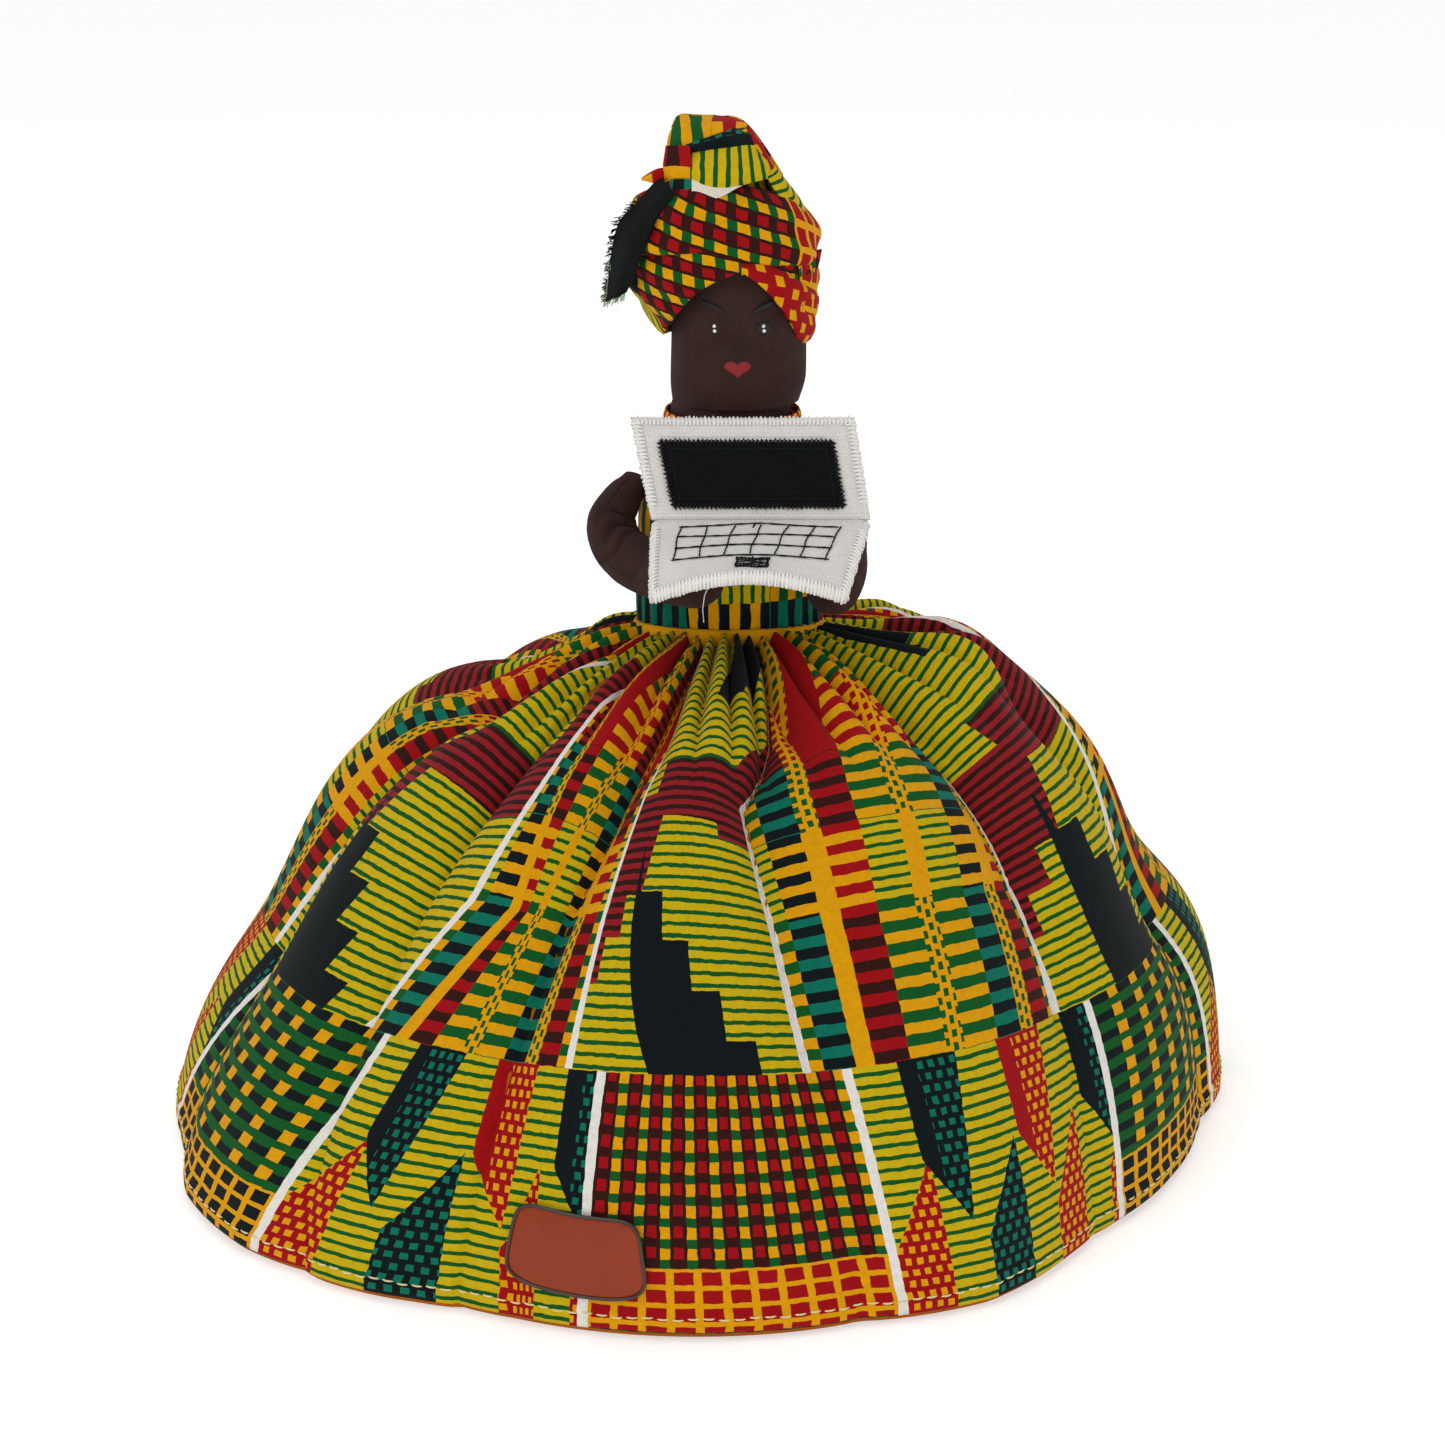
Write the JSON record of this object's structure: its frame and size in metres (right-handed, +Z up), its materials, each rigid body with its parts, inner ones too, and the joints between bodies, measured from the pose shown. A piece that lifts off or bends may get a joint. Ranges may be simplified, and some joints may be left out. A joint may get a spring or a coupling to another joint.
{
  "type": "cloth display doll",
  "caption": "Stuffed cloth doll with a wide gathered printed skirt, a tied head wrap and a folding cloth laptop tacked to its hands.",
  "frame": {"origin": "centre of the skirt's hem circle, on the surface the doll stands on", "axes": "+Z up, the doll faces -Y, +X towards the doll's left hand"},
  "size_m": [0.3251, 0.325, 0.2971],
  "materials": {
    "card": "uncoated board",
    "ballast_cotton": "plain cotton filled with sand",
    "calico": "unbleached calico",
    "stuffing": "polyester fibre filling",
    "net": "stiffened nylon net",
    "lining_cotton": "dyed cotton lining",
    "printed_cotton": "wax printed cotton, woven, matt",
    "red_printed_cotton": "wax printed cotton, woven, matt",
    "black_printed_cotton": "wax printed cotton with frayed edges",
    "brown_cotton": "dark brown plain cotton",
    "white_knit": "thick white knitted fabric",
    "black_cotton": "black plain cotton",
    "black_thread": "black cotton thread",
    "white_thread": "white cotton thread",
    "cream_thread": "cream cotton thread",
    "red_thread": "red cotton thread",
    "label_film": "blank self adhesive film"
  },
  "bodies": {
    "figure": {"base_board": "card", "ballast_bag": "ballast_cotton", "column_cover": "calico", "column_filling": "stuffing", "petticoat_band": "calico", "petticoat": "net", "skirt_lining": "lining_cotton", "skirt_front": "printed_cotton", "skirt_back": "printed_cotton", "skirt_right": "printed_cotton", "skirt_left": "printed_cotton", "skirt_gathers": "printed_cotton", "hem_stitching": "cream_thread", "label": "label_film", "waistband": "printed_cotton", "torso_cover": "brown_cotton", "torso_stuffing": "stuffing", "bodice_front": "printed_cotton", "bodice_back": "printed_cotton", "neckband": "red_printed_cotton", "neck_plug": "stuffing"},
    "head": {"head_front": "brown_cotton", "head_back": "brown_cotton", "head_stuffing": "stuffing", "right_eye": "black_thread", "left_eye": "black_thread", "eye_lights": "white_thread", "right_brow": "black_thread", "left_brow": "black_thread", "lashes": "black_thread", "nose_stitches": "black_thread", "lips": "red_thread", "wrap_left_band": "printed_cotton", "wrap_right_band": "red_printed_cotton", "wrap_crown": "red_printed_cotton", "wrap_top_fold": "printed_cotton", "wrap_knot": "red_printed_cotton", "wrap_tail": "black_printed_cotton", "wrap_end": "red_printed_cotton"},
    "right_arm": {"right_arm_cover": "brown_cotton", "right_arm_stuffing": "stuffing", "right_hand_tack": "white_thread", "laptop_base": "white_knit", "base_edging": "white_thread", "keyboard_stitching": "black_thread", "touchpad": "black_thread", "fold_tick": "black_thread"},
    "left_arm": {"left_arm_cover": "brown_cotton", "left_arm_stuffing": "stuffing"},
    "lid": {"laptop_lid": "white_knit", "lid_edging": "white_thread", "screen_patch": "black_cotton", "screen_zigzag": "black_thread"}
  },
  "joints": [
    {"name": "neck_nod", "type": "hinge", "parent": "figure", "child": "head", "pos_m": [0.007, 0, 0.21475], "axis": [1, 0, 0], "range_deg": [-8, 8], "stiffness_Nm_per_rad": 0.08},
    {"name": "right_shoulder", "type": "hinge", "parent": "figure", "child": "right_arm", "pos_m": [-0.0231, -0.0064, 0.191], "axis": [-1, 0, 0], "range_deg": [0, 10]},
    {"name": "left_shoulder", "type": "hinge", "parent": "figure", "child": "left_arm", "pos_m": [0.0371, -0.0064, 0.191], "axis": [-1, 0, 0], "range_deg": [0, 10]},
    {"name": "laptop_fold", "type": "hinge", "parent": "right_arm", "child": "lid", "pos_m": [0.0158, -0.0416, 0.1896], "axis": [1, 0, 0], "range_deg": [-8, 104]}
  ],
  "couplings": [
    {"joint": "left_shoulder", "follows": "right_shoulder", "ratio": 1}
  ]
}
